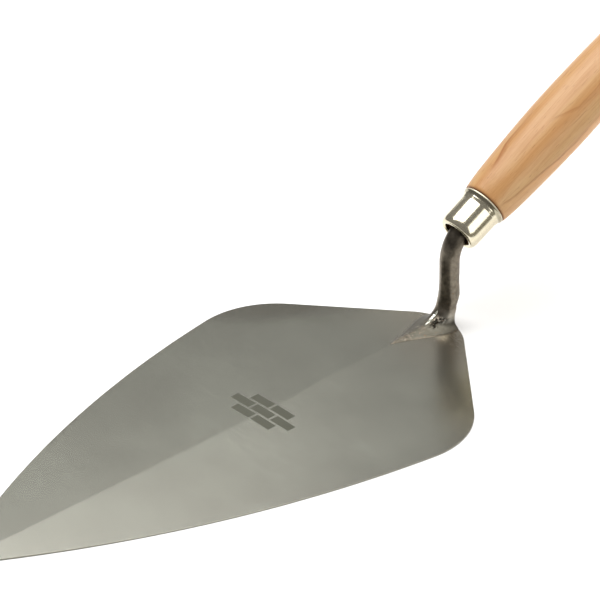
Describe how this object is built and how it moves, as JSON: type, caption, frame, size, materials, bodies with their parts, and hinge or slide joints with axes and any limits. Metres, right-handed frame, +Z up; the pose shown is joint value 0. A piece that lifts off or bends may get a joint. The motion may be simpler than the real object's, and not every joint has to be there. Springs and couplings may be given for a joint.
{
  "type": "brick trowel",
  "caption": "Brick trowel with a ridged, heart-backed steel blade, a cranked round shank, a flared steel ferrule and a turned wooden handle.",
  "frame": {"origin": "on the flat sole of the blade, on the centre line, 10.4 mm in from the heel edge, under the shank's foot", "axes": "+X forward along the ridge to the toe, +Z up out of the sole, Y across the blade; the plane Y = 0 is the plane of symmetry"},
  "size_m": [0.4147, 0.1472, 0.1245],
  "materials": {
    "blade_steel": "satin ground, with fine cross scratches and a faint brown heat tint at the heel",
    "forged_steel": "ground satin at the foot, dark forging scale on the neck, with a ragged edge between them",
    "weld_metal": "ground almost flush, slightly pitted",
    "ferrule_plate": "bright nickel plate",
    "handle_wood": "pale tan hardwood under satin lacquer"
  },
  "bodies": {
    "root": {"blade": "blade_steel", "shank": "forged_steel", "foot_weld": "weld_metal", "ferrule": "ferrule_plate", "handle": "handle_wood"}
  },
  "joints": []
}
